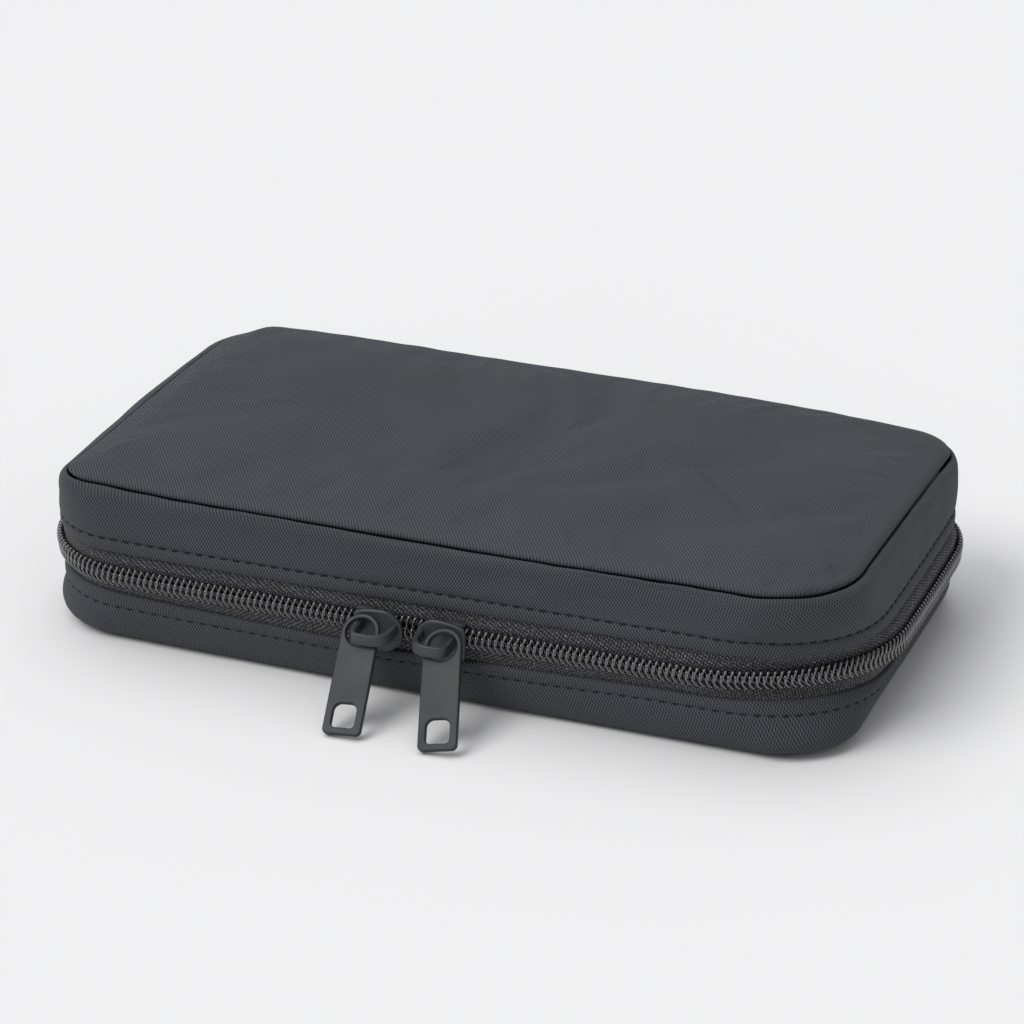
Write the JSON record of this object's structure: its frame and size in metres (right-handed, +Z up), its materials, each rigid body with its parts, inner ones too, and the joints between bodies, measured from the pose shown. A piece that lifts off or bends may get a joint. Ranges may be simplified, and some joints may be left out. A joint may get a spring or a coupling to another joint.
{
  "type": "cable organizer pouch",
  "caption": "Padded fabric clamshell pouch for cables, with a coil zipper round three sides, metal sliders with pull tabs, elastic loops and a net pocket inside.",
  "frame": {"origin": "middle of the flat underside on which the pouch rests", "axes": "+X along the length to the right, +Y to the hinge spine at the back, +Z up through the lid"},
  "size_m": [0.1926, 0.1258, 0.0413],
  "materials": {
    "shell_fabric": "matte woven twill",
    "lining_fabric": "plain woven",
    "binding_tape": "grosgrain",
    "foam": "closed-cell foam",
    "stiffener_board": "polyethylene board",
    "zipper_tape": "knitted tape",
    "zipper_coil": "nylon monofilament",
    "slider_metal": "satin dark grey paint",
    "pull_metal": "satin dark grey paint",
    "elastic": "ribbed elastic webbing",
    "mesh": "knitted net"
  },
  "bodies": {
    "base": {"base_panel": "shell_fabric", "base_stiffener": "stiffener_board", "base_foam_pad": "foam", "base_gusset": "shell_fabric", "base_wall_foam": "foam", "base_lining": "lining_fabric", "base_binding": "binding_tape", "zipper_tape_lower": "zipper_tape", "zipper_coil_lower": "zipper_coil", "spine_lower": "shell_fabric", "zipper_stop_left": "slider_metal", "zipper_stop_right": "slider_metal", "elastic_loops_front": "elastic", "elastic_loops_back": "elastic"},
    "lid": {"lid_panel": "shell_fabric", "lid_foam_pad": "foam", "lid_gusset": "shell_fabric", "lid_wall_foam": "foam", "lid_lining": "lining_fabric", "lid_binding": "binding_tape", "zipper_tape_upper": "zipper_tape", "zipper_coil_upper": "zipper_coil", "spine_upper": "shell_fabric", "lid_mesh_pocket": "mesh", "lid_pocket_elastic": "elastic"},
    "left_slider": {"slider_left": "slider_metal", "slider_bail_left": "slider_metal"},
    "right_slider": {"slider_right": "slider_metal", "slider_bail_right": "slider_metal"},
    "left_pull": {"pull_tab_left": "pull_metal"},
    "right_pull": {"pull_tab_right": "pull_metal"}
  },
  "joints": [
    {"name": "lid_hinge", "type": "hinge", "parent": "base", "child": "lid", "pos_m": [0, 0.0513, 0.02075], "axis": [-1, 0, 0], "range_deg": [0, 179]},
    {"name": "left_slider_run", "type": "slide", "parent": "base", "child": "left_slider", "axis": [-1, 0, 0], "range_m": [0, 0.046]},
    {"name": "right_slider_run", "type": "slide", "parent": "base", "child": "right_slider", "axis": [1, 0, 0], "range_m": [0, 0.046]},
    {"name": "left_pull_swing", "type": "hinge", "parent": "left_slider", "child": "left_pull", "pos_m": [-0.0121, -0.0571, 0.017], "axis": [0, 0.6947, -0.7193], "range_deg": [-6, 95]},
    {"name": "right_pull_swing", "type": "hinge", "parent": "right_slider", "child": "right_pull", "pos_m": [0.0071, -0.0571, 0.017], "axis": [0, -0.6947, 0.7193], "range_deg": [-25, 77]}
  ]
}
